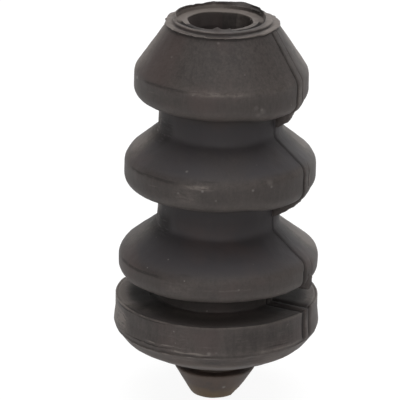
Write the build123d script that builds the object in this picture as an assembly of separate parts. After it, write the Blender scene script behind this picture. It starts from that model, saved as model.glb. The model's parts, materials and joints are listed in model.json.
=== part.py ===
from build123d import *

import os

# A rubber bump stop, moulded in one piece. Three bellows lobes stand on a thick flange, and a barbed
# plug under the flange snaps into a hole in the chassis bracket. A blind bore runs down from the top.
# Millimetres, +Z up. The origin is on the axis, in the seat plane under the flange.

# Flange. Its wall flares a little towards a blunt widest line, and its under-edge falls away in two slopes.
flange_h = 16.8
flange_d = 61.5
flange_wall_d = 60.7
flange_top_r = 0.9
flange_flare_h = 4.5
flange_widest_h = 7.8
flange_widest_r = 1.5
under_edge_d = 54.7
under_edge_h = 2.9
under_edge_r = 6.0
seat_d = 43.4
seat_r = 0.6

# Plug below the seat: a neck as long as the bracket is thick, and a barb that snaps through the hole.
plug_neck_d = 18.0
plug_neck_h = 6.2
barb_d = 24.8
barb_h = 9.3
barb_top_r = 0.4
tip_d = 13.6
tip_r = 1.6

# Necks between the lobes, which all have one diameter, and the round at each end of a neck.
neck_d = 36.8
neck_r = 2.4
groove_neck_h = 4.5
lower_neck_h = 9.2
upper_neck_h = 7.6

# Low lobe. Each lobe has a nearly flat underside, a short upright crest band and a cone above it.
low_crest_d = 59.8
low_under_h = 2.9
low_band_h = 6.6
low_cone_h = 9.5
low_crest_r = 4.0

# Middle lobe.
mid_crest_d = 57.0
mid_under_h = 2.5
mid_band_h = 8.4
mid_cone_h = 9.1
mid_crest_r = 4.4

# Top lobe, whose cone ends at the rim.
top_crest_d = 51.4
top_under_h = 2.0
top_band_h = 8.3
top_cone_h = 13.8
top_crest_r = 4.3

# Rim. A thin ring of moulding flash stands out at the cone's edge, and a step rises to the ledge.
rim_d = 32.4
flash_reach = 1.0
flash_t = 0.5
ledge_d = 29.8
ledge_h = 1.3
mouth_drop = 0.5

# Torn lip of flash around the mouth: full height on the far side, sloping away to nothing on the near side.
# The near side is turned from -Y towards +X by lip_turn degrees.
lip_d = 26.4
lip_t = 0.6
lip_h = 2.1
lip_mid_h = 0.9
lip_slope = 15.0
lip_turn = 26.0

# Bore, blind, with a rounded end.
bore_d = 19.0
bore_depth = 76.0
bore_end_r = 6.0
bore_mouth_r = 0.5

# Parting rib, which the two halves of the mould left along both sides. Under the upper lobes it is a web
# that hangs a little below the crest band and runs in to the foot of the neck. Under the low lobe it is a tab.
seam_w = 3.0
seam_proud = 0.35
web_hang = 0.6
web_foot_h = 0.5
tab_hang = 2.4

# Heights that follow from the sizes above.
low_under_z = flange_h + groove_neck_h
low_band_z = low_under_z + low_under_h
low_cone_z = low_band_z + low_band_h
lower_neck_z = low_cone_z + low_cone_h
mid_under_z = lower_neck_z + lower_neck_h
mid_band_z = mid_under_z + mid_under_h
mid_cone_z = mid_band_z + mid_band_h
upper_neck_z = mid_cone_z + mid_cone_h
top_under_z = upper_neck_z + upper_neck_h
top_band_z = top_under_z + top_under_h
top_cone_z = top_band_z + top_band_h
rim_z = top_cone_z + top_cone_h
ledge_z = rim_z + ledge_h
mouth_z = ledge_z - mouth_drop
lip_z = mouth_z + lip_h
barb_top_z = -plug_neck_h
tip_z = barb_top_z - barb_h
bore_end_z = mouth_z - bore_depth
mouth_d = lip_d - 2 * lip_t


def half_section(corners):
    """Face in the XZ plane. Each corner is a diameter, a height and the radius of its round."""
    points = [(diameter / 2, z) for diameter, z, round_r in corners]
    rounds = [round_r for diameter, z, round_r in corners]
    return Plane.XZ * make_face(FilletPolyline(*points, radius=rounds, close=True))


def lobe(crest_d, under_z, band_z, cone_z, crest_r):
    """The corners of one lobe, from the neck under it up to the top of its crest band."""
    return [
        (neck_d, under_z, neck_r),
        (crest_d, band_z, crest_r),
        (crest_d, cone_z, crest_r),
    ]


# Plug and flange, from the tip up to the groove.
outside = [
    (0, tip_z, 0),
    (tip_d, tip_z, tip_r),
    (barb_d, barb_top_z, barb_top_r),
    (plug_neck_d, barb_top_z, 0),
    (plug_neck_d, 0, 0),
    (seat_d, 0, seat_r),
    (under_edge_d, under_edge_h, under_edge_r),
    (flange_d, flange_widest_h, flange_widest_r),
    (flange_wall_d, flange_widest_h + flange_flare_h, 0),
    (flange_wall_d, flange_h, flange_top_r),
    (neck_d, flange_h, 0),
]

# Bellows, from the groove up to the rim.
outside += lobe(low_crest_d, low_under_z, low_band_z, low_cone_z, low_crest_r)
outside += [(neck_d, lower_neck_z, neck_r)]
outside += lobe(mid_crest_d, mid_under_z, mid_band_z, mid_cone_z, mid_crest_r)
outside += [(neck_d, upper_neck_z, neck_r)]
outside += lobe(top_crest_d, top_under_z, top_band_z, top_cone_z, top_crest_r)
outside += [(rim_d, rim_z, 0), (0, rim_z, 0)]

section = half_section(outside)
body = revolve(section, Axis.Z)


def web(crest_d, crest_r, band_z, hang, foot_z):
    """Flash in the hollow under a lobe, from the foot of its crest band in to a height on the neck."""
    corners = [
        (neck_d / 2 - seam_w, band_z + crest_r),
        (crest_d / 2, band_z + crest_r),
        (crest_d / 2, band_z - hang),
        (neck_d / 2, foot_z),
        (neck_d / 2 - seam_w, foot_z),
    ]
    return extrude(Plane.XZ * make_face(Polyline(*corners, close=True)), amount=seam_w / 2, both=True)


# Parting rib along +X and -X: the section grown all round, kept between the widest line and the rim.
grown = offset(section, amount=seam_proud, kind=Kind.INTERSECTION)
rib_h = rim_z - flange_widest_h
rib_room = Pos(0, 0, flange_widest_h) * Box(
    flange_d, 2 * seam_w, rib_h, align=(Align.MIN, Align.CENTER, Align.MIN)
)
rib = extrude(grown, amount=seam_w / 2, both=True) & rib_room
rib += web(top_crest_d, top_crest_r, top_band_z, web_hang, upper_neck_z + web_foot_h)
rib += web(mid_crest_d, mid_crest_r, mid_band_z, web_hang, lower_neck_z + web_foot_h)
rib += web(low_crest_d, low_crest_r, low_band_z, tab_hang, low_band_z - tab_hang)
body += rib
body += mirror(rib, about=Plane.YZ)


def upright(diameter, low_z, high_z):
    """A round disc or post between two heights."""
    height = high_z - low_z
    return Pos(0, 0, low_z) * Cylinder(diameter / 2, height, align=(Align.CENTER, Align.CENTER, Align.MIN))


# Rim: the flash ring and the ledge, then the lip that is left of the flash around the mouth.
body += upright(rim_d + 2 * flash_reach, rim_z - flash_t, rim_z)
body += upright(ledge_d, rim_z - flash_t, ledge_z)
torn_off = (
    Pos(0, 0, mouth_z + lip_mid_h)
    * Rot(0, 0, lip_turn)
    * Rot(lip_slope, 0, 0)
    * Box(2 * lip_d, 2 * lip_d, 2 * lip_d, align=(Align.CENTER, Align.CENTER, Align.MIN))
)
body += upright(lip_d, rim_z, lip_z) - torn_off

# Bore, its rounded mouth and the flat face around it, cut in one.
bore = [
    (0, bore_end_z, 0),
    (bore_d, bore_end_z, bore_end_r),
    (bore_d, mouth_z, bore_mouth_r),
    (mouth_d, mouth_z, 0),
    (mouth_d, lip_z + lip_h, 0),
    (0, lip_z + lip_h, 0),
]
body -= revolve(half_section(bore), Axis.Z)

os.makedirs("parts", exist_ok=True)
export_step(body, "parts/rubber_buffer.step")
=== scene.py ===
# %% [markdown]
# A rubber buffer, dressed for its photograph
#
# The object is a bump stop from a car's rear axle: one moulding of black rubber, with three bellows
# lobes on a thick flange and a barbed plug below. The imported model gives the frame, the sizes and the
# large forms, but it is smooth and clean, and the real one is nicked, torn and worn pale along its
# edges. So this script turns a finer copy of the same form, and paints it with a material made of
# nodes.

import json
import math
from dataclasses import dataclass
from functools import partial

import bpy
import numpy as np
from mathutils import Matrix, Vector, noise

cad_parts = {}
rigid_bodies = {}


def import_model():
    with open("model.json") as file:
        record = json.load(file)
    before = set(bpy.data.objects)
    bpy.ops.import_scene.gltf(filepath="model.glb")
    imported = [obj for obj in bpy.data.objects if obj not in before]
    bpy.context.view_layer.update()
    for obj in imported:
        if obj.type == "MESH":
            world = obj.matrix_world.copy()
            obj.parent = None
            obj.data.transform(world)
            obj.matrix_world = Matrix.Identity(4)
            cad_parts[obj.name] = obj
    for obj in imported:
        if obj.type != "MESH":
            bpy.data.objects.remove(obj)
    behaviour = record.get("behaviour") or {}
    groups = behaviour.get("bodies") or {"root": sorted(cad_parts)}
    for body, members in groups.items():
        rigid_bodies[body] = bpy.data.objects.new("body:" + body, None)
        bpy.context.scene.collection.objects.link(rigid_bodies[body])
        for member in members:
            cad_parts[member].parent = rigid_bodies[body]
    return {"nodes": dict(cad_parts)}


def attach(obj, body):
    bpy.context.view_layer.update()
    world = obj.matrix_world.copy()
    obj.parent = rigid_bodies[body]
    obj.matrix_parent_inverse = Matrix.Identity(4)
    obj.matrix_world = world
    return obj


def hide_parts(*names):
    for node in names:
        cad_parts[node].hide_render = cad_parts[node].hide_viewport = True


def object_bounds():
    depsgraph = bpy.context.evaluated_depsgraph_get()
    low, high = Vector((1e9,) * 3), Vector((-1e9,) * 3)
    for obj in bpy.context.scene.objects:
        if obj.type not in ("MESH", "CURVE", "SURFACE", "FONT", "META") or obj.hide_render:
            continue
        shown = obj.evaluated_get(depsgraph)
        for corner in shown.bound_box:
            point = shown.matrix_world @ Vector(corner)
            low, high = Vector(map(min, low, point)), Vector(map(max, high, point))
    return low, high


MM = 0.001

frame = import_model()
cad_low, cad_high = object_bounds()
print("nodes:", sorted(frame["nodes"]), "box:", list(cad_low), list(cad_high))

# %% [markdown]
# The camera
#
# The outline in the photograph was compared with the outline of turned forms, and one distance, tilt
# and turn of the camera fits it to half a pixel on average. The lens is a long one, so the lobes look
# almost as they would in a drawing. The camera's axes are written out as three vectors, because a
# roll of one degree is easier to read there than in three angles.

# %% Camera
PHOTO_PX = 400
MM_PER_PX = 0.3
SENSOR_MM = 36.0
DISTANCE_PX = 3431
view_turn = math.radians(26.0)
view_tilt = math.radians(19.34)
view_roll = math.radians(-1.10)
aim = Vector((0, 0, 44.88 * MM))
aim_at_px = (218.7, 203.8)

level_right = Vector((math.cos(view_turn), math.sin(view_turn), 0))
level_forward = Vector((-math.sin(view_turn), math.cos(view_turn), 0))
forward = math.cos(view_tilt) * level_forward - Vector((0, 0, math.sin(view_tilt)))
level_up = level_right.cross(forward)
right = math.cos(view_roll) * level_right - math.sin(view_roll) * level_up
up = math.sin(view_roll) * level_right + math.cos(view_roll) * level_up

px = MM_PER_PX * MM
eye = aim - forward * DISTANCE_PX * px
eye -= right * (aim_at_px[0] - PHOTO_PX / 2) * px
eye += up * (aim_at_px[1] - PHOTO_PX / 2) * px

camera_data = bpy.data.cameras.new("camera")
camera_data.sensor_width = SENSOR_MM
camera_data.lens = SENSOR_MM * DISTANCE_PX / PHOTO_PX
camera = bpy.data.objects.new("camera", camera_data)
bpy.context.scene.collection.objects.link(camera)
camera.matrix_world = Matrix((
    (right.x, up.x, -forward.x, eye.x),
    (right.y, up.y, -forward.y, eye.y),
    (right.z, up.z, -forward.z, eye.z),
    (0, 0, 0, 1),
))
bpy.context.scene.camera = camera
print("camera at", [round(v, 4) for v in eye], "lens", round(camera_data.lens, 1))

# %% [markdown]
# Drawing the outline
#
# A turned part is described by half of its section. Here each corner of that outline has a radius,
# a height and the size of its round, and two more numbers for the paint: its wear with painted
# highlight, which makes it pale, and how deep in dirt and painted shade it lies. The under-edges of the
# lobes also sag a little beside the right-hand parting rib. A round is sampled as a rational curve,
# which is an exact arc.
# A subdivision surface over a few rings would be quicker, but it would soften every edge alike.

# %% Sizes of the outline
NECK_R = 18.4
NECK_TURN = 2.4
BORE_R = 9.5
BORE_END_Z = 26.0
MOUTH_R = 12.6
MOUTH_Z = 102.0
LIP_Z = 104.1
LEDGE_R = 14.8
LEDGE_Z = 102.65
RIM_R = 16.4
RIM_Z = 101.8
FLASH_R = 17.15
FLANGE_Z = 16.93
WIDEST_Z = 7.8
BARB_Z = -6.2
TIP_Z = -15.5
print("height in millimetres:", LIP_Z - TIP_Z)

# %% The class Corner


@dataclass
class Corner:
    """A corner of the outline, with lengths in millimetres, and wear and dirt, with painted light and
    shade, from 0 to 1.

    turn is the radius of its round, and fade is how far its wear and highlight reach. ragged is how far
    noise moves it, and sag is how much lower it hangs beside the right-hand rib.
    """

    r: float
    z: float
    turn: float = 0.3
    wear: float = 0.0
    fade: float = 0.8
    dirt: float = 0.0
    ragged: float = 0.0
    sag: float = 0.0
    name: str = ""


def lobe(crest_r, under_z, band_z, cone_z, crest_turn, wear, dirt, sag):
    """The corners of a lobe, from the top of its crest band down to the neck under it."""
    return [
        Corner(crest_r, cone_z, crest_turn, wear=wear, fade=1.5, ragged=0.08),
        Corner(crest_r, band_z, crest_turn, wear=0.3, fade=2.2, dirt=0.1, ragged=0.08, sag=sag),
        Corner(NECK_R, under_z, NECK_TURN, dirt=dirt, sag=sag),
    ]


# %% Corners of the mouth and the rim
# The dirt in the bore and at the lip's top is painted shade, deep in the bore and in the gap beside the
# lip.
mouth = [
    Corner(0, BORE_END_Z, 0.0, dirt=0.6),
    Corner(BORE_R, BORE_END_Z, 6.0, dirt=0.5),
    Corner(BORE_R, MOUTH_Z - 4.0, 0.1, dirt=0.2),
    Corner(BORE_R, MOUTH_Z - 0.5, 0.1, dirt=0.5, name="mouth"),
    Corner(BORE_R, MOUTH_Z, 0.2, wear=0.9, fade=0.9, name="mouth"),
    Corner(MOUTH_R - 0.9, MOUTH_Z, 0.12, wear=0.7, fade=1.2, name="crack inside"),
    Corner(MOUTH_R - 0.3, MOUTH_Z, 0.12, name="crack"),
    Corner(MOUTH_R, MOUTH_Z, 0.12, name="lip foot"),
    Corner(MOUTH_R + 0.05, MOUTH_Z, 0.1, wear=0.4, name="lip middle"),
    Corner(MOUTH_R + 0.1, LIP_Z, 0.1, dirt=0.45, name="lip top"),
    Corner(MOUTH_R + 0.5, LIP_Z, 0.1, dirt=0.4, name="lip top"),
    Corner(MOUTH_R + 0.6, LEDGE_Z, 0.2, dirt=0.2, name="lip back"),
]
# The dirt on the riser under the ledge and under the flash is painted shade.
rim = [
    Corner(LEDGE_R - 0.3, LEDGE_Z, 0.15, wear=1.0, fade=0.6, ragged=0.12, name="ledge"),
    Corner(LEDGE_R, LEDGE_Z - 0.2, 0.1, dirt=0.1, ragged=0.1, name="ledge"),
    Corner(LEDGE_R + 0.1, RIM_Z, 0.25, dirt=0.75, name="ledge"),
    Corner(FLASH_R - 1.2, RIM_Z + 0.05, 0.1, wear=0.6, fade=0.6, name="flash"),
    Corner(FLASH_R, RIM_Z - 0.05, 0.1, wear=1.0, fade=0.6, ragged=0.3, name="flash"),
    Corner(FLASH_R - 0.1, RIM_Z - 0.25, 0.1, dirt=0.5, ragged=0.3, name="flash"),
    Corner(RIM_R + 0.1, RIM_Z - 0.55, 0.2, dirt=0.8),
    Corner(RIM_R + 0.6, RIM_Z - 1.27, 0.2, dirt=0.1),
]
print("corners so far:", len(mouth + rim))

# %% Corners of the bellows, the flange and the plug
# The dirt at each lobe's under corner and at the necks is dirt and painted shade, in the hollows under
# the lobes.
bellows = (
    lobe(25.87, 77.1, 79.1, 87.5, 4.3, 0.4, 0.6, 0.9)
    + [Corner(NECK_R, 69.2, NECK_TURN, dirt=0.15)]
    + lobe(28.6, 49.5, 52.0, 60.75, 4.4, 0.25, 0.45, 1.0)
    + [Corner(NECK_R, 44.6, 0.3, dirt=0.52), Corner(NECK_R, 40.05, NECK_TURN, dirt=0.22)]
    + lobe(30.0, 21.3, 24.2, 31.0, 4.0, 0.15, 0.4, 0.2)
)
flange = [
    # The dirt at the neck's foot and on the flange's top under the low lobe is painted shade in the
    # groove.
    Corner(NECK_R, FLANGE_Z, 0.4, dirt=0.3),
    Corner(20.4, FLANGE_Z, 0.1, wear=0.4, fade=2.6),
    Corner(29.2, FLANGE_Z - 0.1, 0.5, dirt=0.56),
    Corner(29.7, FLANGE_Z - 0.35, 0.3, dirt=0.68),
    Corner(30.5, FLANGE_Z, 0.5, wear=0.5, fade=0.45, ragged=0.1),
    Corner(30.5, WIDEST_Z + 4.5, 3.0),
    Corner(30.9, WIDEST_Z + 0.5, 1.2, wear=0.3, fade=1.0, ragged=0.1),
    Corner(30.6, WIDEST_Z - 0.5, 0.2, dirt=0.6, name="scuff groove"),
    Corner(30.45, WIDEST_Z - 0.9, 0.15, wear=0.9, fade=0.4, ragged=0.1, name="scuff edge"),
    Corner(29.95, WIDEST_Z - 1.6, 0.4, wear=0.25, fade=1.2, dirt=0.1),
    Corner(27.4, 2.9, 6.0, wear=0.3, fade=2.0, dirt=0.08),
    Corner(22.0, 0.0, 0.6, dirt=0.38),
]
plug = [
    Corner(9.0, 0.0, 0.5, dirt=0.1),
    Corner(9.0, BARB_Z, 0.3, dirt=0.3),
    Corner(12.4, BARB_Z, 0.4, wear=0.4, ragged=0.12),
    Corner(6.8, TIP_Z, 1.6, wear=0.3, ragged=0.1),
    Corner(0, TIP_Z, 0.0, wear=0.3),
]
outline = mouth + rim + bellows + flange + plug
print("corners:", len(outline))

# %% [markdown]
# Turning it
#
# The outline is swept through columns. Most stand at even angles, but at the parting rib they stand
# at set distances from the mould's parting plane, because a rib is as wide at a neck as at a
# crest. Each column may move its own corners, so the torn lip, the ragged flash and the uneven crests
# come from the sweep itself, and the mesh stays one closed skin.

# %% Creases of the parting rib
# Each row is a height, then the place, depth and width of the left crease and of the right one. A place
# is how far the crease lies from the mould's parting plane.
seam = [
    (101, -1.2, 0.8, 0.19, 1.0, 0.8, 0.2),
    (95, -1.5, 0.7, 0.19, 0.8, 0.7, 0.2),
    (90, -1.9, 0.7, 0.19, 0.6, 0.4, 0.2),
    (86, -1.9, 0.9, 0.25, 0.4, 0.7, 0.25),
    (78, -1.9, 0.7, 0.3, 0.5, 0.7, 0.3),
    (75, -1.5, 0.3, 0.19, 0.9, 0.2, 0.2),
    (72, -1.4, 0.4, 0.19, 1.2, 0.1, 0.2),
    (62, -1.4, 0.5, 0.19, 1.4, 0.0, 0.2),
    (58, -1.8, 1.0, 0.3, 0.1, 0.9, 0.3),
    (50, -1.8, 1.0, 0.3, 0.1, 1.0, 0.3),
    (48, -1.5, 0.3, 0.19, 1.2, 0.2, 0.2),
    (44, -1.0, 0.2, 0.19, 1.2, 0.1, 0.2),
    (42, -0.9, 0.4, 0.19, 1.2, 0.1, 0.2),
    (32, -1.2, 0.5, 0.25, 1.4, 0.0, 0.2),
    (29, -2.4, 1.0, 0.4, 1.4, 0.4, 0.35),
    (26, -2.3, 1.0, 0.4, 1.6, 0.9, 0.35),
    (24, -1.7, 1.0, 0.4, 1.5, 0.9, 0.35),
    (17, -2.2, 1.0, 0.7, -0.4, 1.0, 0.9),
    (8, -2.4, 1.0, 0.65, -0.5, 1.0, 0.8),
]
seam_lists = np.array(seam[::-1], float).T
seam_z, seam_left, seam_right = seam_lists[[0, 1, 4]]
print("creases run from", seam_z[0], "to", seam_z[-1], "mm")

# %% Columns
EVEN_COLUMNS = 98
RIB_HALF = 1.5
rib_steps = [0, 0.7, 1.15, 1.35, 1.5, 1.6, 1.7, 1.8, 1.95, 2.2, 2.8]
CAMERA_ANGLE = view_turn - math.pi / 2


def column_angles(r, z):
    """The angle of every column at a radius and height."""
    left, right_side = np.interp(z, seam_z, seam_left), np.interp(z, seam_z, seam_right)
    middle, half = (left + right_side) / 2, (right_side - left) / 2
    steps = np.array([-v for v in rib_steps[:0:-1]] + rib_steps)
    outside = steps + np.sign(steps) * (half - RIB_HALF)
    offsets = middle + np.where(np.abs(steps) < RIB_HALF, steps * half / RIB_HALF, outside)
    rib = np.arcsin(offsets / max(r, 2 * rib_steps[-1]))
    gap = np.pi - (rib[-1] - rib[0])
    even = rib[-1] + gap * (np.arange(EVEN_COLUMNS) + 1) / (EVEN_COLUMNS + 1)
    side = np.concatenate([rib, even])
    return np.concatenate([side, side + np.pi])


def smooth(value, low, high):
    """0 below low, 1 above high and an easy slope between."""
    t = np.clip((value - low) / (high - low), 0, 1)
    return t * t * (3 - 2 * t)


def window(value, start, full, fading, end):
    """1 from full to fading, 0 before start and after end, and an easy slope on either side."""
    return smooth(value, start, full) * (1 - smooth(value, fading, end))


def bell(value, width):
    """1 at zero, about a third at the width on either side, and nearly 0 at twice the width."""
    return np.exp(-((value / width) ** 2))


def ring_noise(angle, per_turn, seed):
    """Noise round a ring, from about -1 to 1, with some waves to a turn."""
    size = per_turn / (2 * math.pi)
    return np.array([2 * noise.noise((size * math.cos(a), size * math.sin(a), seed)) for a in angle])


columns = column_angles(25.0, 58.0)
# Degrees round from the side that faces the camera, from -180 to 180, positive to its right.
around = np.degrees((columns - CAMERA_ANGLE + np.pi) % (2 * np.pi) - np.pi)
COLUMNS = len(columns)
print("columns:", COLUMNS)

# %% [markdown]
# The torn mouth
#
# Where the mould's core met the rubber it left a thin skin round the bore, and someone tore it away.
# On the far side it still stands two millimetres high. Its left half has bites out of it, and its
# right half leans out. To the left and right of the camera a crack is left, and between them the
# ledge runs in almost to the bore. The whole mouth sits half a millimetre off the axis. All of that
# is a matter of where each column puts the corners named above. Each list of angles is in degrees
# round from the side that faces the camera, and the list after it says what holds there.

# %% Cracks and chips at the mouth
MOUTH_OFF = -0.55
CRACK_WIDE = 1.6
CRACK_DEEP = 1.3
crack_turn = [-180, -115, -100, -85, -63, -57, -48, -43, -38, -33, -19, 12, 16, 25, 42, 66, 88, 180]
crack_at = [
    13.1, 12.9, 13.0, 12.7, 12.5, 12.5, 12.7, 12.6, 12.3,
    11.5, 11.5, 10.6, 11.8, 12.7, 12.9, 12.7, 12.8, 13.1,
]
crack_r = np.interp(around, crack_turn, crack_at) + 0.08 * ring_noise(columns, 24, 8.2)
crack_open = window(-around, 38, 46, 88, 98) + window(around, 12, 20, 78, 90)
torn_ring = window(-around, 32, 40, 70, 80)
ring_lift = 0.25 * window(around, 10, 22, 58, 88)
chip_turn = [-180, -160, -140, -115, -95, 95, 120, 150, 180]
chip_deep = [0.2, 0.7, 1.0, 0.7, 0, 0, 0.5, 0.6, 0.2]
mouth_chipped = np.interp(around, chip_turn, chip_deep)
mouth_shift = MOUTH_OFF * np.sin(np.radians(around))
print("crack open in", (crack_open > 0).sum(), "columns")

# %% The torn lip
lip = np.maximum(smooth(-around, 77, 94), smooth(around, 66, 86))
lip_turn = [-180, -158, -154, -151, -147, -142, -138, -132, -120, -100, -90, 180]
lip_torn = [0, 0.08, 0.22, 0.25, 0.15, 0.1, 0.26, 0.05, 0.05, 0.05, 0, 0]
lip_wave = np.abs(0.03 * ring_noise(columns, 40, 5.7))
lip_lift = np.clip(lip * (1 - np.interp(around, lip_turn, lip_torn) - lip_wave), 0, 1)
lean_turn = [-180, -172, -168, -163, 66, 90, 103, 115, 124, 135, 144, 152, 157, 163, 172, 180]
lean_out = [0, 0, 0.6, 0.2, 0, 0, 0.1, 0.2, 0.9, 0.9, 1.3, 1.8, 1.7, 0.8, 0.2, 0]
lip_lean = np.interp(around, lean_turn, lean_out)
print(f"lip leans out {lip_lean.max():.2f} mm at most")

# %% Move the corners column by column
RAGGED_SHARE = 0.6
FLASH_NICK = 0.14
PRESSED_IN = 0.3
SCUFF_OUT = 0.14
SCUFF_IN = 0.12
rim_pressed = window(around, 10, 40, 70, 100)
scuffed = window(-around, -6, 4, 68, 84) + window(around, 36, 44, 58, 66)
beside_rib = window(around, 12, 38, 66, 74)
radius = np.tile(np.array([c.r for c in outline]), (COLUMNS, 1))
height = np.tile(np.array([c.z for c in outline]), (COLUMNS, 1))
for k, corner in enumerate(outline):
    name = corner.name
    if corner.ragged:
        radius[:, k] += corner.ragged * RAGGED_SHARE * ring_noise(columns, 7, 1.7 * k)
        height[:, k] += corner.ragged * RAGGED_SHARE * ring_noise(columns, 6, 2.3 * k + 9)
    height[:, k] -= corner.sag * beside_rib
    if name == "flash":
        radius[:, k] += FLASH_NICK * (ring_noise(columns, 34, 4.4) + ring_noise(columns, 90, 6.1))
        height[:, k] += 0.1 * ring_noise(columns, 48, 3.9)
    if name in ("ledge", "flash"):
        radius[:, k] -= PRESSED_IN * rim_pressed
    if name == "mouth":
        radius[:, k] += mouth_chipped
    if name in ("mouth", "crack inside"):
        height[:, k] += ring_lift
    if name == "crack inside":
        radius[:, k] = np.maximum(crack_r - CRACK_WIDE, BORE_R + 0.3)
    if name == "crack":
        radius[:, k] = crack_r - 0.25
        height[:, k] -= CRACK_DEEP * crack_open
    if name == "lip foot":
        radius[:, k] = crack_r + 0.1
        height[:, k] += 0.15 * crack_open
    if name == "lip middle":
        radius[:, k] += crack_r - MOUTH_R + 0.1
        height[:, k] = MOUTH_Z + 0.25 + 0.75 * lip_lift
    if name == "lip top":
        radius[:, k] += crack_r - MOUTH_R + lip_lean
        lip_low = LEDGE_Z + 0.08 - 0.2 * crack_open
        height[:, k] = lip_low + (LIP_Z - 0.02 - lip_low) * lip_lift
    if name == "lip back":
        radius[:, k] += lip_lean / 2
    if name == "scuff edge":
        radius[:, k] += SCUFF_OUT * scuffed * (0.7 + 0.8 * ring_noise(columns, 30, 7.7))
    if name == "scuff groove":
        radius[:, k] -= SCUFF_IN * scuffed
    if name and k < len(mouth):
        radius[:, k] += mouth_shift
print(f"highest corner at {height.max():.2f} mm")

# %% [markdown]
# From corners to rows
#
# Every column gets the same number of points on the same arc or run, so the rows line up. The paint's
# two numbers, wear with painted highlight and dirt with painted shade, are worked out along the outline:
# wear fades on both sides of a corner, over a length of its own, and dirt changes evenly from one corner
# to the next.

# %% Sample the outline
ARC_SPACING = 0.55
RUN_SPACING = 0.8
BORE_SPACING = 3.0
# A round takes up at most this share of the shorter run beside it.
ROUND_SHARE = 0.46


def round_ends(corners, k):
    """Where the round at corner k starts and ends in each column, and the weight of its middle."""
    at, turn = corners[:, k], outline[k].turn
    if k in (0, len(outline) - 1) or turn == 0:
        return at, at, np.ones(COLUMNS)
    back = corners[:, k - 1] - at
    on = corners[:, k + 1] - at
    back_run = np.linalg.norm(back, axis=1)
    on_run = np.linalg.norm(on, axis=1)
    cosine = np.clip((back * on).sum(axis=1) / back_run / on_run, -0.9999, 0.9999)
    half = np.arccos(cosine) / 2
    run = np.minimum(turn / np.tan(half), ROUND_SHARE * np.minimum(back_run, on_run))
    return at + back * (run / back_run)[:, None], at + on * (run / on_run)[:, None], np.sin(half)


def sample_outline(corners):
    """Every column's points, as (radius, height), and the row in the middle of each round."""
    rounds = [round_ends(corners, k) for k in range(len(outline))]
    rows, middles = [], []
    for k, (start, end, weight) in enumerate(rounds):
        arc = float(np.linalg.norm(end - start, axis=1).mean())
        steps = max(3, math.ceil(arc / ARC_SPACING) + 1) if arc > 0 else 1
        middles.append(len(rows) + steps // 2)
        for t in np.linspace(0, 1, steps):
            low, mid, high = (1 - t) ** 2, 2 * t * (1 - t) * weight[:, None], t * t
            rows.append((low * start + mid * corners[:, k] + high * end) / (low + mid + high))
        if k + 1 == len(rounds):
            break
        goal = rounds[k + 1][0]
        run = float(np.linalg.norm(goal - end, axis=1).mean())
        spacing = BORE_SPACING if k in (0, 1) else RUN_SPACING
        for t in np.linspace(0, 1, max(2, math.ceil(run / spacing)) + 1)[1:-1]:
            rows.append(end + (goal - end) * t)
    return np.stack(rows, axis=1), middles


def paint_rows(grid, middles):
    """The wear and the dirt of each row, with the painted light and shade that they carry."""
    steps = np.linalg.norm(np.diff(grid.mean(axis=0), axis=0), axis=1)
    run = np.concatenate([[0], np.cumsum(steps)])
    dirt = np.interp(run, run[middles], [c.dirt for c in outline])
    wear = np.zeros(len(run))
    for c, at in zip(outline, run[middles]):
        wear = np.maximum(wear, c.wear * bell(run - at, c.fade))
    return wear, dirt


points, middle_rows = sample_outline(np.stack([radius, height], axis=2))
row_wear, row_dirt_and_shade = paint_rows(points, middle_rows)
# Where corners share a name, the row of the last one is kept.
named_rows = {c.name: row for c, row in zip(outline, middle_rows)}
ROWS = points.shape[1]
print("rows:", ROWS, "points:", ROWS * COLUMNS)

# %% [markdown]
# Giving it the marks of its mould
#
# Each point now moves along the outline's own normal. The parting rib stands proud by a third of a
# millimetre between two fine creases. Slow noise makes the walls as uneven as hand-trimmed rubber,
# and a list of small bumps and dents puts the blemishes where the photograph has them.

# %% Normals of the outline and the place of each point
tangent = np.gradient(points, axis=1)
normal = np.stack([-tangent[:, :, 1], tangent[:, :, 0]], axis=2)
normal /= np.maximum(np.linalg.norm(normal, axis=2, keepdims=True), 1e-9)
row_r, row_z = points.mean(axis=0).T
angle = np.stack([column_angles(r, z) for r, z in zip(row_r, row_z)], axis=1)


def turned(at):
    """Points in space, from the radius and the height of each and its own angle."""
    return np.stack([at[:, :, 0] * np.cos(angle), at[:, :, 0] * np.sin(angle), at[:, :, 1]], axis=2)


flat = turned(points)
print(f"widest radius {row_r.max():.2f} mm")

# %% The parting rib on both sides
RIB_PROUD = 0.3
CREASE_DEEP = 0.5
STEP_FADE = 5.0
# How far the painted light past the rib reaches, in millimetres.
LIGHT_REACH = 22.0
SOFT = 0.08
at_rows = [np.interp(row_z, seam_z, values) for values in seam_lists[1:]]
rib_left, deep_left, wide_left, rib_right, deep_right, wide_right = at_rows
rib, proud, crease, bright, groove, lit_past_rib = np.zeros((6, COLUMNS, ROWS))
for x_way in (1, -1):
    here = np.cos(angle) * x_way > 0
    side = flat[:, :, 1] * x_way
    past_left = here * smooth(side, rib_left - SOFT, rib_left + SOFT)
    past_right = np.clip(side - rib_right, 0, None)
    strip = past_left * (1 - smooth(past_right, 0, 2 * SOFT))
    step = past_left * (1 - deep_right) * np.exp(-past_right / STEP_FADE)
    left_cut = deep_left * bell(side - rib_left + wide_left, wide_left)
    right_cut = deep_right * bell(side - rib_right - wide_right, wide_right)
    rib += strip
    proud += np.maximum(strip, step)
    crease += here * np.maximum(left_cut, right_cut)
    # bright is where a painted highlight runs past the right crease.
    bright += here * bell(side - rib_right - 2 * wide_right - 0.9, 0.6)
    groove += here * bell(side - rib_right + 0.2, 1.5)
    # Past the rib on the right-hand half the skin is painted paler, as lit from the right.
    if x_way > 0:
        lit_past_rib += past_left * (0.05 + 0.95 * smooth(past_right, 1, 8)) * bell(past_right, LIGHT_REACH)

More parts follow.
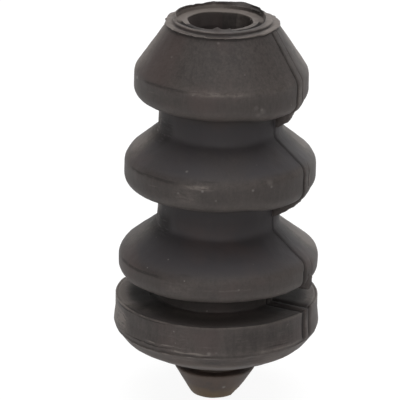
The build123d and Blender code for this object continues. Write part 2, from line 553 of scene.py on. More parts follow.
on_skin = smooth(flat[:, :, 2], WIDEST_Z - 0.3, WIDEST_Z + 0.6)
on_skin *= (points[:, :, 0] > RIM_R + 0.3) & (flat[:, :, 2] < RIM_Z - 0.9)
rib *= on_skin
crease *= on_skin
lift = RIB_PROUD * proud * on_skin - CREASE_DEEP * crease
print(f"rib lifts {lift.max():.2f} and sinks {lift.min():.2f} mm")

# %% Bumps and dents
# Angle from the camera's side, height, radius, size and lift of each blemish.
blemishes = [
    (-8, LEDGE_Z, 11.3, 1.0, 0.75), (13, LEDGE_Z, 10.6, 0.7, 0.35), (-4, 100.2, 17.0, 0.5, 0.25),
    (3, RIM_Z, FLASH_R, 0.4, -0.35), (-45, 94.8, 20.4, 0.35, 0.12), (28, 97.7, 18.4, 0.3, 0.1),
    (17, 92.0, 22.4, 0.3, 0.12), (-10, 87.2, 25.7, 1.2, -0.12), (27, 82.2, 25.7, 0.6, 0.06),
    (32, 59.0, 28.5, 0.5, 0.12), (-9, 58.5, 28.5, 0.5, -0.1), (-44, 8.8, 30.7, 1.0, -0.3),
    (-31, 7.9, 30.7, 0.9, -0.25), (-10, 8.3, 30.7, 0.8, 0.2), (0, 8.6, 30.7, 1.0, -0.2),
    (46, 3.7, 27.9, 0.8, 0.25), (20, 6.5, 30.0, 1.2, -0.25),
]


def spot_at(turn, z, r):
    """The place at a height and radius, so many degrees round from the camera's side."""
    a = CAMERA_ANGLE + math.radians(turn)
    return r * math.cos(a), r * math.sin(a), z


for turn, z, r, size, raise_by in blemishes:
    far = np.linalg.norm(flat - spot_at(turn, z, r), axis=2)
    lift += raise_by * bell(far, size)
print("blemishes:", len(blemishes))

# %% Slow and fine noise
SLOW_LIFT = 0.22
FINE_LIFT = 0.07
slow = np.apply_along_axis(noise.noise, 2, flat * (0.09, 0.09, 0.06) + (0, 0, 3))
fine = np.apply_along_axis(noise.noise, 2, flat * (0.45, 0.45, 0.3) + (0, 0, 11))
lift += SLOW_LIFT * slow + FINE_LIFT * fine
placed = points + normal * lift[:, :, None]
print(f"lift from {lift.min():.2f} to {lift.max():.2f} mm")

# %% [markdown]
# The plug has had a hard life
#
# The plug leans a little, and its barb is torn away at the lower right, as if it had been pulled out
# of its bracket. A lean is a shear of everything below the seat. The tear is a plane: what stands out
# past it is pushed back onto it, and noise keeps the torn face rough.

# %% Place the points and tear the plug
PLUG_LEAN = 0.022
TEAR_SLOPE = 43.0
TEAR_OUT = 7.9
TEAR_Z = -12.2
TEAR_ROUGH = 0.25
to_right = np.array(level_right)
body_points = turned(placed)
below = np.clip(-body_points[:, :, 2], 0, None)
body_points -= PLUG_LEAN * below[:, :, None] * to_right

tear_way = math.radians(TEAR_SLOPE)
tear_normal = to_right * math.sin(tear_way) - (0, 0, math.cos(tear_way))
tear_at = to_right * TEAR_OUT + (0, 0, TEAR_Z)
past = (body_points - tear_at) @ tear_normal
torn = (past > 0) & (body_points[:, :, 2] < BARB_Z)
body_points -= np.where(torn, past - TEAR_ROUGH * fine, 0)[:, :, None] * tear_normal
print("torn points:", torn.sum())

# %% [markdown]
# The lobes stand a little askew
#
# The lobes don't stand quite square to the axis: their right side is a little higher than their left,
# and they sit up to a quarter of a millimetre to the right. The flange is a little oval. All of it is
# done to the finished points, so that the outline above stays easy to read.

# %% Tilt the lobes
LOBE_TILT = 0.0165
tilt_z = [-3, 6, 16, 22, 62, 80]
tilt_share = [0, 0.4, 0.7, 1, 0.8, 0]
shift_z = [-2, 2, 8, 18, 24, 30, 34, 42, 48, 60, 85, 100]
shift_by = [0.05, -0.17, -0.07, -0.07, 0.26, 0.22, 0.03, -0.05, 0.27, 0.11, 0.06, 0]
OVAL = 0.003
INSIDE = 0.015


def tilt_lobes(at):
    """Points moved by the tilt and the shift of the lobes."""
    share = np.interp(at[..., 2], tilt_z, tilt_share)
    shift = np.interp(at[..., 2], shift_z, shift_by)
    moved = at + shift[..., None] * to_right
    moved[..., 2] += LOBE_TILT * share * (at @ to_right)
    return moved


def keep_inside(at):
    """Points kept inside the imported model's box."""
    return np.clip(at, np.array(cad_low) / MM + INSIDE, np.array(cad_high) / MM - INSIDE)


flange_share = 1 - smooth(body_points[:, :, 2], 17.5, 20.0)
body_points[:, :, 0] *= 1 + OVAL * flange_share
body_points = keep_inside(tilt_lobes(body_points))
print(f"lowest point at {body_points[:, :, 2].min():.3f} mm")

# %% [markdown]
# Making the mesh
#
# The rows of points are joined with four-sided faces, and a fan closes each end on the axis. The
# numbers for the paint are stored on the points as attributes, which a material can read.

# %% Mesh helpers


def new_piece(name, points_mm, faces, paint):
    """A smooth mesh object that rides on the frame. paint gives a list of numbers for each attribute."""
    mesh = bpy.data.meshes.new(name)
    mesh.from_pydata([tuple(MM * v for v in p) for p in points_mm], [], faces)
    mesh.update()
    mesh.polygons.foreach_set("use_smooth", [True] * len(mesh.polygons))
    for key, values in paint.items():
        layer = mesh.attributes.new(key, "FLOAT", "POINT")
        layer.data.foreach_set("value", np.asarray(values, np.float32))
    piece = bpy.data.objects.new(name, mesh)
    bpy.context.scene.collection.objects.link(piece)
    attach(piece, "root")
    print(name, "points", len(mesh.vertices), "faces", len(mesh.polygons))
    return piece


def skin_faces(numbers):
    """The four-sided faces of a closed sweep. numbers says which point stands in each column and row."""
    beside = np.roll(numbers, -1, axis=0)
    corners = [numbers[:, :-1], numbers[:, 1:], beside[:, 1:], beside[:, :-1]]
    return np.stack(corners, axis=2).reshape(-1, 4).tolist()


# %% Faces of the body
ring_points = body_points[:, 1:-1].reshape(-1, 3)
ends = [body_points[:, 0].mean(axis=0), body_points[:, -1].mean(axis=0)]
bore_end = len(ring_points)
tip = bore_end + 1
numbers = np.arange(bore_end).reshape(COLUMNS, ROWS - 2)
faces = skin_faces(numbers)
for this, beside in zip(numbers.tolist(), np.roll(numbers, -1, axis=0).tolist()):
    faces.append((bore_end, this[0], beside[0]))
    faces.append((tip, beside[-1], this[-1]))
print("faces of the body:", len(faces))

# %% [markdown]
# Where the rubber is worn and dirty, and where light and shade are painted
#
# Handling rubs a moulding pale along its edges, and dirt stays where nothing rubs it. Light is painted
# pale on the rim's sides, on the skin past the rib, along the outer edges and on the flange's top, and
# shade is painted dark in the hollows, the creases, the crack and the bore. These places follow the
# shape, so they are worked out from each point's height and angle. wear, with the painted light, makes
# the rubber pale, and dirt, with the painted shade, makes it dark. level is a point's height before the
# lobes were tilted. Painting them by hand would need a picture, and this way they change with the shape.
# np.outer makes a number for every point from one for each column and one for each row.

# %% Wear and painted light on the rim, and along the rib
LEDGE_SIDE_IN = 13.6
LEDGE_SIDE_OUT = 15.3
rim_rows = (row_z > RIM_Z - 0.2) & (row_z < LEDGE_Z + 0.1)
ledge_side = (row_r > LEDGE_SIDE_IN) & (row_r < LEDGE_SIDE_OUT)
# side_light and flash_light are painted light on the rim's left and right sides, where the side light
# falls. They are stored with the wear.
side_light = 1.3 * np.outer(smooth(-around, 40, 80), rim_rows & ~ledge_side)
side_light += np.outer(smooth(around, 40, 80), rim_rows)
flash_light = 1.3 * np.outer(smooth(around, 32, 58), rim_rows & (row_r > LEDGE_SIDE_OUT))
# How much the strip between the two creases is rubbed at some heights.
rubbed_z = [8, 16, 18, 24, 29, 31, 49, 50, 58, 60, 77, 78, 85, 88]
rubbed_strip = [0.4, 0.4, 0.2, 0, 0, 0, 0, 0.35, 0.35, 0, 0, 0.7, 0.7, 0]
# Where a painted highlight runs along the far edge of the right crease, and how bright it is.
bright_z = [49, 51, 58, 60, 77, 79, 86, 88]
bright_edge = [0, 0.9, 0.9, 0, 0, 0.7, 0.7, 0]
even_wear = np.tile(row_wear, (COLUMNS, 1))
strip_wear = rib * np.interp(row_z, rubbed_z, rubbed_strip)
edge_highlight = bright * np.interp(row_z, bright_z, bright_edge)
all_wear_and_highlight = np.max([even_wear, strip_wear, edge_highlight, side_light, flash_light], axis=0)
print(f"wear at most {all_wear_and_highlight.max():.2f}")

# %% Patchy wear on the ledge, the scuffed edge and the crests
ledge_turn = [-180, -60, -30, -16, -8, 0, 35, 50, 70, 180]
ledge_rub = [1, 1, 0.9, 1.1, 0.9, 0.2, 0.3, 0.7, 1.3, 1.2]
ledge_rows = (row_r > 13.4) & (row_z > RIM_Z + 0.35)
all_wear_and_highlight[:, ledge_rows] *= np.interp(around, ledge_turn, ledge_rub)[:, None]
broken = np.clip(0.5 + 0.9 * ring_noise(columns, 70, 12.3), 0, 1.3)
scuff_share = 1 - 0.8 * np.outer(1 - scuffed * broken, bell(row_z - WIDEST_Z + 0.9, 0.6))
all_wear_and_highlight *= scuff_share
crest_rows = np.max([bell(row_z - crest_z, 1.6) for crest_z in (87.0, 60.0, 30.5)], axis=0)
all_wear_and_highlight *= 1 - 0.85 * np.outer(window(-around, 14, 30, 82, 95), crest_rows)
print(f"mean wear {all_wear_and_highlight.mean():.3f}")

# %% Painted light on the flanks, the outer edges and the flange's top
# Where the skin past the rib is painted pale, as lit from the right, and how pale it is there.
lit_past_rib_z = [15, 16, 16.6, 17.2, 17.8, 31, 34, 47, 50, 60, 64, 76, 78, 86, 90, 99]
lit_past_rib_share = [0, 1, 1.6, 1.6, 0, 0.3, 1.3, 1.3, 0, 0.3, 1.3, 1.3, 0, 0.3, 1.3, 1.3]
# How pale the outermost skin is painted on the left and on the right, where light grazes it.
edge_z = [8, 16, 18, 31, 34, 47, 50, 60, 64, 76, 79, 90, 99]
left_edge_light = [0.6, 0.6, 0, 0.3, 1.3, 1.3, 0, 0.3, 2.2, 2.2, 1.4, 2.0, 2.0]
right_edge_light = [0, 0, 0, 1.4, 2.0, 1.5, 0, 0, 1.6, 1.6, 0.8, 1.2, 1.2]
painted_light = lit_past_rib * np.interp(row_z, lit_past_rib_z, lit_past_rib_share)
painted_light += np.outer(window(-around, 64, 88, 108, 116), np.interp(row_z, edge_z, left_edge_light))
painted_light += np.outer(window(around, 76, 90, 100, 120), np.interp(row_z, edge_z, right_edge_light))
flange_top = (row_z > 16.2) & (row_z < 17.2)
# The flange's top is painted pale at the left and right, where the side light reaches into the groove.
flange_side_light = np.maximum(2.6 * smooth(-around, 56, 82), 1.8 * smooth(around, 68, 78))
painted_light = np.maximum(painted_light, np.outer(flange_side_light, flange_top))
all_wear_and_highlight = np.maximum(all_wear_and_highlight, 0.5 * painted_light)
all_dirt_and_shade = np.tile(row_dirt_and_shade, (COLUMNS, 1)) * (1 - 0.85 * np.minimum(painted_light, 1)) * scuff_share
print(f"dust at most {painted_light.max():.2f}")

# %% Painted shade above the flange and at the rib


def darken(share, dirt, wear_lost=0.0):
    """Lays dirt and painted shade on each point by its share, and takes wear away by the same share."""
    np.maximum(all_dirt_and_shade, dirt * share, out=all_dirt_and_shade)
    np.multiply(all_wear_and_highlight, 1 - wear_lost * share, out=all_wear_and_highlight)


# shaded_top is a painted shadow of the low lobe on the flange's top, near the neck on both sides.
shaded_top = np.outer(smooth(np.abs(around), 30, 50), flange_top)
darken(shaded_top * (1 - smooth(points[:, :, 0], 24.0, 28.5)), 0.65, wear_lost=0.9)
# The groove beside the right crease gets painted shade on the flange's wall and top.
darken(groove * np.interp(row_z, [12.5, 15.5, 17.1, 17.2], [0, 1, 1, 0]), 0.6, wear_lost=0.8)
# The creases, and the rib under the low lobe's tab, get painted shade.
tab_shade = np.interp(row_z, [20.0, 22.0, 28.5, 30.5], [0, 0.4, 0.35, 0])
darken(np.maximum(crease, tab_shade * rib), 1.0)
print(f"mean dirt {all_dirt_and_shade.mean():.3f}")

# %% Darker places in the mouth, with painted shade in the crack and the bore


def rows_in(first, last):
    """True for the rows from one number up to another."""
    return (np.arange(ROWS) >= first) & (np.arange(ROWS) <= last)


lip_foot = named_rows["lip foot"]
crack_rows = rows_in(named_rows["crack inside"] + 1, lip_foot)
ring_rows = rows_in(named_rows["mouth"], lip_foot)
outer_rows = rows_in(lip_foot + 1, named_rows["lip back"] + 1)
lip_rows = rows_in(lip_foot + 1, named_rows["lip top"])
bore_rows = (row_r < BORE_R + 0.4) & (row_z < MOUTH_Z - 0.3) & (row_z > BORE_END_Z + 4)
bore_turn = [-180, -150, -125, -95, 95, 120, 150, 180]
bore_shade = [0.35, 0.7, 0.7, 0, 0, 0.4, 0.25, 0.35]
# The crack and the bore get painted shade. The torn ring, the rows from the lip to the ledge on the left
# and the right of the lip are made darker.
darken(np.outer(crack_open, crack_rows), 1.0)
darken(np.outer(torn_ring, ring_rows), 0.85, wear_lost=1.0)
darken(np.outer(window(-around, 25, 35, 75, 85), outer_rows), 0.75)
darken(np.outer(np.interp(around, bore_turn, bore_shade), bore_rows), 1.0)
darken(np.outer(window(around, 95, 115, 130, 178), lip_rows), 0.4, wear_lost=0.8)
print(f"mean dirt with the mouth's {all_dirt_and_shade.mean():.3f}")

# %% The body
# The last two numbers of each list are for the points on the axis, at the bore's end and the tip.
# wear also carries painted light, and dirt carries painted shade.
paint = {
    "wear": all_wear_and_highlight[:, 1:-1].ravel().tolist() + [0.0, 0.3],
    "dirt": all_dirt_and_shade[:, 1:-1].ravel().tolist() + [1.0, 0.0],
    "level": points[:, 1:-1, 1].ravel().tolist() + [BORE_END_Z, TIP_Z],
}
body = new_piece("moulded_body", np.concatenate([ring_points, ends]), faces, paint)
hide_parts("rubber_buffer")

# %% [markdown]
# Flash in the hollows
#
# In the hollows under the lobes the two halves of the mould left a web of rubber along the parting
# line, and under the low lobe a tab. Each is a thin slab with a torn outer edge. It is lofted along
# that edge: every station is a small ring from deep in the body out to the edge and back.

# %% Webs and tabs
WEB_HALF = 1.5
WEB_SHIFT = 0.15
WEB_SPACING = 0.35
WEB_TORN = 0.4
LEFT_DROP = 0.45
# The torn edge from its top to its foot, as radius and height, then the top and the foot of the line
# deep in the body that it is lofted from, and how dark it is.
webs = {
    "web_top": ([
        (25.2, 83.0), (25.9, 81.3), (25.3, 79.6), (24.4, 78.5), (23.7, 77.4), (23.0, 76.0),
        (22.5, 74.8), (21.7, 73.9), (20.3, 73.0), (19.3, 72.4), (18.0, 72.0),
    ], (20.5, 81.0), (15.5, 72.5), 0.1),
    "web_middle": ([
        (28.0, 56.4), (28.6, 54.4), (28.1, 52.4), (27.2, 51.0), (25.9, 49.4),
        (24.3, 47.8), (22.2, 46.3), (20.7, 45.3), (19.4, 44.6), (18.0, 44.2),
    ], (22.0, 54.0), (15.5, 44.6), 0.05),
    "tab_low": ([
        (30.2, 28.0), (30.5, 25.8), (30.7, 23.9), (30.5, 22.8), (28.8, 22.8),
        (27.0, 23.0), (25.0, 22.9), (22.6, 22.6), (20.0, 22.0),
    ], (26.5, 26.5), (17.0, 23.4), 0.28),
}
print("webs and tabs:", 2 * len(webs))


def resample(path, step):
    """Evenly spaced points along a path of (radius, height)."""
    path = np.array(path, float)
    run = np.concatenate([[0], np.cumsum(np.linalg.norm(np.diff(path, axis=0), axis=1))])
    at = np.linspace(0, run[-1], max(2, int(run[-1] / step)))
    return np.stack([np.interp(at, run, values) for values in path.T], axis=1)


def make_web(name, edge, inner_top, inner_foot, shade, way, seed):
    """A slab of flash with a torn edge, made darker by its shade number. way is 1 on +X and -1 on -X."""
    line = resample(edge, WEB_SPACING)
    stations = len(line)
    inner = np.linspace(inner_top, inner_foot, stations)
    across = [-1, -1, -0.7, 0, 0.7, 1, 1]
    out_share = [0, 0.93, 1, 1.0, 1, 0.93, 0]
    points_mm, dirt, wear = [], [], []
    for s in range(stations):
        reach = line[s] - inner[s]
        length = np.linalg.norm(reach)
        for a, share in zip(across, out_share):
            y = a * WEB_HALF
            torn_by = WEB_TORN * noise.noise((line[s][1] * 1.3, y * 1.1, seed)) * (share > 0)
            far = share * length + torn_by
            r, z = inner[s] + reach / length * far
            z -= LEFT_DROP * (1 + s / stations) * (way < 0) * (share > 0)
            points_mm.append((way * r, way * (y + WEB_SHIFT), z))
            dirt.append(shade - 0.05 if share == 1 else shade + 0.05)
            wear.append(0.5 - shade if share == 1 else 0.2)
    numbers = np.arange(len(points_mm)).reshape(stations, len(across))
    faces = skin_faces(numbers.T) + [numbers[0].tolist(), numbers[-1, ::-1].tolist()]
    placed_mm = keep_inside(tilt_lobes(np.array(points_mm)))
    return new_piece(name, placed_mm, faces, {"wear": wear, "dirt": dirt})


web_pieces = []
for seed, (name, shape) in enumerate(webs.items()):
    web_pieces.append(make_web(name + "_right", *shape, 1, 3.3 * seed))
    web_pieces.append(make_web(name + "_left", *shape, -1, 3.3 * seed + 50))

# %% [markdown]
# Arithmetic for shaders
#
# A material is a graph of nodes, and long sums are hard to follow as a list of nodes and links. The
# class below wraps the output of a node, so that a sum can be written as a sum. Each operator adds
# one Math node. Every other node, such as noise or a bump, comes from its one method, node.

# %% The class Wire


class Wire:
    """The output of a shader node. Arithmetic on it adds Math nodes to its tree."""

    def __init__(self, tree, socket):
        self.tree = tree
        self.socket = socket

    @classmethod
    def node(cls, tree, kind, settings=None, sockets=None, output=0):
        """Adds a node, sets its settings, fills or links its sockets, and gives one of its outputs."""
        made = tree.nodes.new(kind)
        for key, value in (settings or {}).items():
            setattr(made, key, value)
        for key, value in (sockets or {}).items():
            if isinstance(value, Wire):
                tree.links.new(value.socket, made.inputs[key])
            elif isinstance(value, tuple) and len(value) == 3 and made.inputs[key].type == "RGBA":
                made.inputs[key].default_value = (*value, 1)
            else:
                made.inputs[key].default_value = value
        return cls(tree, made.outputs[output])

    def show(self, kind):
        """Joins a shader to a new output node of a kind."""
        self.tree.links.new(self.socket, self.tree.nodes.new(kind).inputs["Surface"])

    def math(self, operation, other=0.0, **settings):
        """A Math node on this value and another."""
        settings["operation"] = operation
        return Wire.node(self.tree, "ShaderNodeMath", settings, {0: self, 1: other})

    def __add__(self, other):
        return self.math("ADD", other)

    __radd__ = __add__

    def __sub__(self, other):
        return self.math("SUBTRACT", other)

    def __rsub__(self, other):
        return Wire.node(self.tree, "ShaderNodeMath", {"operation": "SUBTRACT"}, {0: other, 1: self})

    def __mul__(self, other):
        return self.math("MULTIPLY", other)

    __rmul__ = __mul__

    def clamp(self):
        """The same value kept between 0 and 1."""
        return self.math("ADD", use_clamp=True)

    def between(self, low, high):
        """0 at low and 1 at high, with a smooth slope between."""
        sockets = {"Value": self, "From Min": low, "From Max": high}
        return Wire.node(self.tree, "ShaderNodeMapRange", {"interpolation_type": "SMOOTHSTEP"}, sockets)

    def window(self, start, full, fading, end):
        """1 from full to fading, 0 before start and after end, and a smooth slope on either side."""
        return self.between(start, full) * (1 - self.between(fading, end))

    def dot(self, axis):
        """How far a vector reaches along an axis."""
        settings, sockets = {"operation": "DOT_PRODUCT"}, {0: self, 1: tuple(axis)}
        return Wire.node(self.tree, "ShaderNodeVectorMath", settings, sockets, output="Value")

    def mix(self, base, over):
        """The colour over laid on the colour base by this value."""
        sockets = {0: self, 6: base, 7: over}
        return Wire.node(self.tree, "ShaderNodeMix", {"data_type": "RGBA"}, sockets, output=2)


# %% [markdown]
# The rubber
#
# Old moulded rubber isn't one black. Wax and dust bloom on it and turn it a warm grey, handling rubs the
# crests pale, and brown dirt stays where it was fitted. The colour is built up in layers: a mottled
# ground, violet, reddish and brown patches, pale wear and painted light on the edges, dust specks, and
# last the hollows, darker with dirt and painted shade. All of it comes from each point's place in
# millimetres and the numbers stored on it.

# %% The rubber's node tree
rubber = bpy.data.materials.new("weathered_rubber")
rubber.use_nodes = True
rubber_tree = rubber.node_tree
rubber_tree.nodes.clear()
# node adds a node to the rubber's tree and gives one of its outputs as a Wire.
node = partial(Wire.node, rubber_tree)
place_m = node("ShaderNodeTexCoord", output="Object")
place = node("ShaderNodeVectorMath", {"operation": "SCALE"}, {0: place_m, "Scale": 1 / MM})
# The wear attribute also carries painted light, and the dirt attribute carries painted shade.
wear = node("ShaderNodeAttribute", {"attribute_name": "wear"}, output="Fac")
dirt = node("ShaderNodeAttribute", {"attribute_name": "dirt"}, output="Fac")
level = node("ShaderNodeAttribute", {"attribute_name": "level"}, output="Fac")
print("nodes so far:", len(rubber_tree.nodes))

# %% Patterns


def cloud(size, detail=3.0, stretch=(1, 1, 1), shift=0.0, rough=0.55):
    """Noise whose blobs are about size millimetres, longer where stretch is larger."""
    sockets = {0: place, 1: tuple(1 / s for s in stretch), 2: (shift, shift, shift)}
    scaled = node("ShaderNodeVectorMath", {"operation": "MULTIPLY_ADD"}, sockets)
    sockets = {"Vector": scaled, "Scale": 1 / size, "Detail": detail, "Roughness": rough}
    return node("ShaderNodeTexNoise", {}, sockets)


def patch(turn, z, r, size):
    """1 at a place on the skin, fading out at size."""
    sockets = {0: place, 1: spot_at(turn, z, r)}
    far = node("ShaderNodeVectorMath", {"operation": "DISTANCE"}, sockets, output="Value")
    return 1 - far.between(0.2 * size, size)


point_z = place.dot((0, 0, 1))
# Degrees round from the camera's side, like the numbers in around.
point_turn = place.dot(level_right).math("ARCTAN2", place.dot(-level_forward)) * math.degrees(1)
print("nodes so far:", len(rubber_tree.nodes))

# %% Ground colour
GROUND = (0.0312, 0.0243, 0.0215)
GROUND_PALE = (0.0575, 0.0458, 0.0408)
mottle = cloud(16, detail=5)
grain = cloud(0.9, detail=4, rough=0.75)
brushed = cloud(1.0, detail=4, stretch=(0.8, 0.8, 5.0), shift=15, rough=0.7)
flecks = cloud(1.5, detail=4, stretch=(1.5, 1.5, 0.8), rough=0.65, shift=87)
blotches = cloud(2.6, detail=4, stretch=(1.0, 1.0, 2.2), shift=61)
dusted = point_z.between(84.0, 90.0)
walled = point_z.window(6.0, 9.0, 15.5, 17.0)
under = 1 - point_z.between(2.0, 9.5)
fine_grain = (grain - 0.5) * 1.3 + (brushed - 0.5)
pale = mottle.between(0.35, 0.68) * 0.3 + fine_grain * (1.15 + dusted * 0.8 + walled * 0.35)
pale = pale + (flecks - 0.5) * under * 2.4
pale = pale + (blotches - 0.5) * (dusted + walled * 1.6) * 1.1
colour = (pale + 0.32).clamp().mix(GROUND, GROUND_PALE)
print("nodes so far:", len(rubber_tree.nodes))

# %% Violet, reddish and brown patches
VIOLET = (0.0330, 0.0280, 0.0315)
REDDISH = (0.0640, 0.0410, 0.0370)
BROWN = (0.0760, 0.0490, 0.0355)
OCHRE = (0.1550, 0.1000, 0.0460)
low_cone = level.window(30.0, 34.0, 47.0, 51.0)
middle_cone = level.window(59.5, 63.0, 74.0, 78.0)
top_cone = level.between(85.0, 89.0)
cool = (low_cone + middle_cone) * (1 - wear * 2).clamp() * cloud(26, shift=55).between(0.1, 0.45)
colour = (cool * 0.85).mix(colour, VIOLET)
red_clouds = cloud(22, shift=40).between(0.5, 0.66) * 0.45 * (1 - top_cone * point_turn.between(-5, 15))
colour = red_clouds.mix(colour, REDDISH)
left_of_top = top_cone * (1 - point_turn.between(-48, -28)) * 0.45
colour = left_of_top.mix(colour, REDDISH)
red_patch = patch(-12, 85.0, 25.7, 7.0) * (0.3 + grain * 0.7) * 0.7
colour = red_patch.mix(colour, REDDISH)
browned = under * cloud(5, shift=9).between(0.2, 0.6) * (0.9 - 0.3 * point_z.between(-6.0, 2.0))
colour = browned.mix(colour, BROWN)
tip_dirt = (1 - (point_z + cloud(4, shift=3) * 5).between(-12.5, -8.0)) * 0.8
colour = tip_dirt.mix(colour, OCHRE)
print("nodes so far:", len(rubber_tree.nodes))

# %% Pale and dark bands that run round the body
# Height, first and last angle, half width and strength of each pale one, and of each dark one.
# Of the pale ones, the line at 16.9 along the flange's top edge on the left is a painted highlight, and
# the wide band at 12.0 on the left is painted light on the flange wall.
pale_marks = [
    (87.2, -28, 20, 1.3, 0.55), (56.4, -32, -8, 3.2, 0.7), (28.0, -36, -10, 2.4, 0.55),
    (12.6, -34, -8, 4.0, 0.45), (59.4, -26, 0, 1.1, 1.0), (16.9, -76, -40, 0.3, 0.8),
    (9.7, -48, -12, 0.4, 1.2), (8.35, -30, -4, 0.45, 1.7), (10.6, -12, 4, 0.25, 0.6),
    (7.9, -18, 2, 0.4, 1.2), (7.9, 18, 58, 1.2, 0.8), (5.4, -36, -6, 0.9, 0.6),
    (4.6, 22, 46, 1.0, 0.6), (84.6, -60, -40, 0.3, 0.5), (12.0, -98, -56, 5.5, 1.4),
    (57.6, -50, -34, 0.3, 0.6), (28.2, -14, 24, 0.4, 0.5),
]
# Of the dark ones, the line at 16.25 under that highlight is painted shade. The wide bands at 70.5,
# 41.5, 12.0 and 5.1 make the left of the necks' feet, the right of the flange wall and the front of its
# under-edge darker.
dark_marks = [
    (87.1, -66, -20, 0.6, 0.5), (60.0, -72, -22, 0.6, 0.55), (61.2, -16, 4, 0.35, 0.35),
    (30.3, -80, -30, 0.65, 0.6), (31.9, -26, -12, 0.5, 0.4), (16.25, -80, -22, 0.3, 0.75),
    (8.9, -64, -22, 0.28, 0.85), (9.3, 26, 48, 0.3, 0.5), (12.0, 4, 56, 5.5, 0.28),
    (5.1, -16, 34, 2.2, 0.32), (70.5, -110, -46, 5.0, 0.6), (41.5, -110, -46, 4.5, 0.6),
]
END_FADE = 10
streaks = cloud(1.0, stretch=(3.0, 3.0, 0.5), shift=33).between(0.3, 0.5)
wandering = level + (cloud(6, detail=2, shift=17) - 0.5) * 0.8


def marked(marks):
    """The share of the skin that some marks cover, each by its strength."""
    share = 0.0
    for z, first, last, half, strength in marks:
        off = (wandering - z).math("ABSOLUTE")
        band = (1 - off.between(0.2 * half, half)) * streaks * strength
        share = share + band * point_turn.window(first, first + END_FADE, last - END_FADE, last)
    return share


# The pale marks join the wear, with painted light among them, and the dark ones join the dirt, with
# painted shade among them.
wear = wear + marked(pale_marks) * 0.75
dirt = dirt + marked(dark_marks)
print("pale and dark marks:", len(pale_marks), len(dark_marks))

# %% Worn edges and painted light
WORN_AND_LIT = (0.1500, 0.1270, 0.1130)
rubbed = cloud(3.2, detail=6, stretch=(1.4, 1.4, 0.6), rough=0.7, shift=21)
patchy = 0.25 + rubbed.between(0.36, 0.66) * 0.5 + (grain - 0.5) * 1.2
# worn is pale where the rubber is worn and where light is painted on it.
worn_and_lit = (wear * patchy + (wear - 0.6).clamp()).clamp()
colour = worn_and_lit.mix(colour, WORN_AND_LIT)
print("nodes so far:", len(rubber_tree.nodes))

# %% Specks of dust, and dirt and painted shade over everything
SPECK = (0.2600, 0.2400, 0.2200)
DARK = (0.0120, 0.0095, 0.0092)
# Angle from the camera's side, height, radius, size and strength of each pale speck.
specks = [
    (-45, 94.8, 20.4, 0.7, 1.0), (28, 97.7, 18.4, 0.5, 0.8), (17, 92.0, 22.4, 0.5, 0.8),
    (-74, 86.3, 25.8, 0.8, 1.0), (-10, 58.5, 28.6, 0.6, 0.7), (32, 59.0, 28.6, 0.6, 0.45),
    (-22, 63.0, 25.7, 0.6, 0.6), (27, 82.2, 25.8, 0.7, 0.35), (16, -10.8, 9.7, 0.8, 1.2),
    (-4, 8.6, 30.8, 0.9, 0.5), (-4, 100.2, 17.0, 0.6, 0.4), (0, 8.9, 30.8, 0.6, 0.4),
    (23, 82.8, 25.8, 1.1, 0.2), (28, 81.6, 25.8, 1.3, 0.2), (25, 80.6, 25.6, 1.0, 0.2),
    (31, 60.2, 28.6, 1.4, 0.2), (20, 58.6, 28.6, 0.6, 0.6), (-25, 57.0, 28.6, 0.5, 0.5),
    (-2, 55.8, 28.5, 0.5, 0.4), (12, 28.5, 30.0, 0.5, 0.4),
]
cells = node("ShaderNodeTexVoronoi", {}, {"Vector": place, "Scale": 0.21})
speck = (1 - cells.between(0.035, 0.065)) * cloud(18, shift=70).between(0.42, 0.58)
for turn, z, r, size, strength in specks:
    speck = speck + patch(turn, z, r, size) * strength
colour = (speck * 0.6).clamp().mix(colour, SPECK)
# Dirt and painted shade in the hollows, creases, crack and bore darken the colour towards DARK.
colour = (dirt * 0.95).clamp().mix(colour, DARK)
print("specks:", len(specks))

# %% Roughness, relief and the shader
roughness = (0.50 + 0.10 * mottle + 0.12 * grain + 0.06 * worn_and_lit + 0.25 * dirt).clamp()
relief = cloud(0.9, shift=2) * 0.5 + cloud(4.5, detail=2, shift=30) * 1.2 + rubbed * wear * 0.6
RELIEF_MM = 0.25
bump = node("ShaderNodeBump", {}, {"Height": relief, "Strength": 0.35, "Distance": RELIEF_MM * MM})
sockets = {"Base Color": colour, "Roughness": roughness, "Normal": bump}
shader = node("ShaderNodeBsdfPrincipled", {}, sockets)
shader.show("ShaderNodeOutputMaterial")
for piece in [body, *web_pieces]:
    piece.data.materials.append(rubber)
print("rubber nodes:", len(rubber_tree.nodes))

# %% [markdown]
# Floor and background
#
# The photograph's background is plain white. The floor is a real, pale one that takes the shadow of
# the object. The camera, and rays that a surface mirrors or lets through, see it nearly white by its
# own glow. All other rays meet a plain pale surface, so the glow shows on the object only as a
# reflection.

# %% Floor
FLOOR_HALF = 3000


def make_floor_material():
    """A pale floor that looks white to the camera and keeps its shadows."""
    material = bpy.data.materials.new("pale_floor")
    material.use_nodes = True
    tree = material.node_tree
    tree.nodes.clear()
    rays = ("Is Camera Ray", "Is Glossy Ray", "Is Transmission Ray")
    seen = sum(Wire.node(tree, "ShaderNodeLightPath", output=ray) for ray in rays).clamp()
    plain = Wire.node(tree, "ShaderNodeBsdfDiffuse", {}, {"Color": (0.80, 0.80, 0.80)})
    dim = Wire.node(tree, "ShaderNodeBsdfDiffuse", {}, {"Color": (0.16, 0.16, 0.16)})
    white = Wire.node(tree, "ShaderNodeEmission", {}, {"Strength": 0.90})
    both = Wire.node(tree, "ShaderNodeAddShader", {}, {0: dim, 1: white})
    mixed = Wire.node(tree, "ShaderNodeMixShader", {}, {0: seen, 1: plain, 2: both})
    mixed.show("ShaderNodeOutputMaterial")
    return material


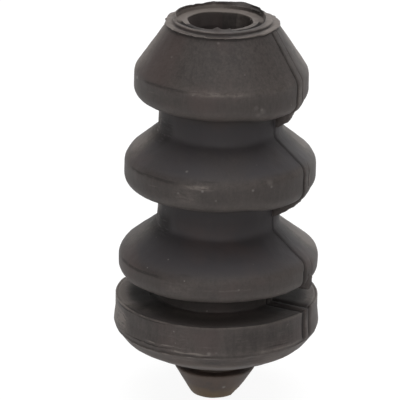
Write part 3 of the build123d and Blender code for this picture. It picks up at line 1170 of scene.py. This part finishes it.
floor_mesh = bpy.data.meshes.new("floor")
half = FLOOR_HALF * MM
floor_z = TIP_Z * MM
ways = [(-1, -1), (1, -1), (1, 1), (-1, 1)]
floor_mesh.from_pydata([(x * half, y * half, floor_z) for x, y in ways], [], [(0, 1, 2, 3)])
floor = bpy.data.objects.new("floor", floor_mesh)
bpy.context.scene.collection.objects.link(floor)
floor.data.materials.append(make_floor_material())
print("floor lies at", round(floor_z, 4), "m")

# %% [markdown]
# The studio
#
# The light was measured. The buffer was rendered in plain grey rubber under one piece of the
# surroundings at a time, and the pieces were added up in the shares that come closest to the
# photograph: a bright ceiling, a front that is brightest beside the camera, a white wall behind that is
# stronger on the right, and dark sides. That wall is what lines both edges of the buffer with light.
# The world shader is that studio, written out as soft windows of direction. The camera's own rays see
# plain white instead.

# %% World
CEILING = 2.6
FRONT = 1.3
BESIDE_CAMERA = 1.0
WALL = 1.0
WALL_RIGHT = 0.85
world = bpy.data.worlds.new("studio")
bpy.context.scene.world = world
world.use_nodes = True
sky = world.node_tree
sky.nodes.clear()

# How far the direction of a ray points ahead of the camera, to its right and up, from -1 to 1.
way = Wire.node(sky, "ShaderNodeTexCoord")
ahead = way.dot(level_forward)
across = way.dot(level_right)
upward = way.dot((0, 0, 1))
below_ceiling = 1 - upward.between(0.5, 0.8)
wall = below_ceiling * ahead.between(0.2, 0.7) * (WALL + WALL_RIGHT * across.between(0.0, 0.4))
front = below_ceiling * (-1 * ahead).between(0.2, 0.7) * upward.between(0.15, 0.35)
beside = below_ceiling * (-1 * ahead - 0.15 * across).between(0.90, 0.97)
studio = CEILING * upward.between(0.75, 0.95) + FRONT * front + BESIDE_CAMERA * beside + wall

camera_ray = Wire.node(sky, "ShaderNodeLightPath", output="Is Camera Ray")
strength = camera_ray + (1 - camera_ray) * studio
backdrop = Wire.node(sky, "ShaderNodeBackground", {}, {"Color": (1.0, 1.0, 1.0), "Strength": strength})
backdrop.show("ShaderNodeOutputWorld")
bpy.context.scene.view_settings.view_transform = "Standard"
print("world nodes:", len(sky.nodes))
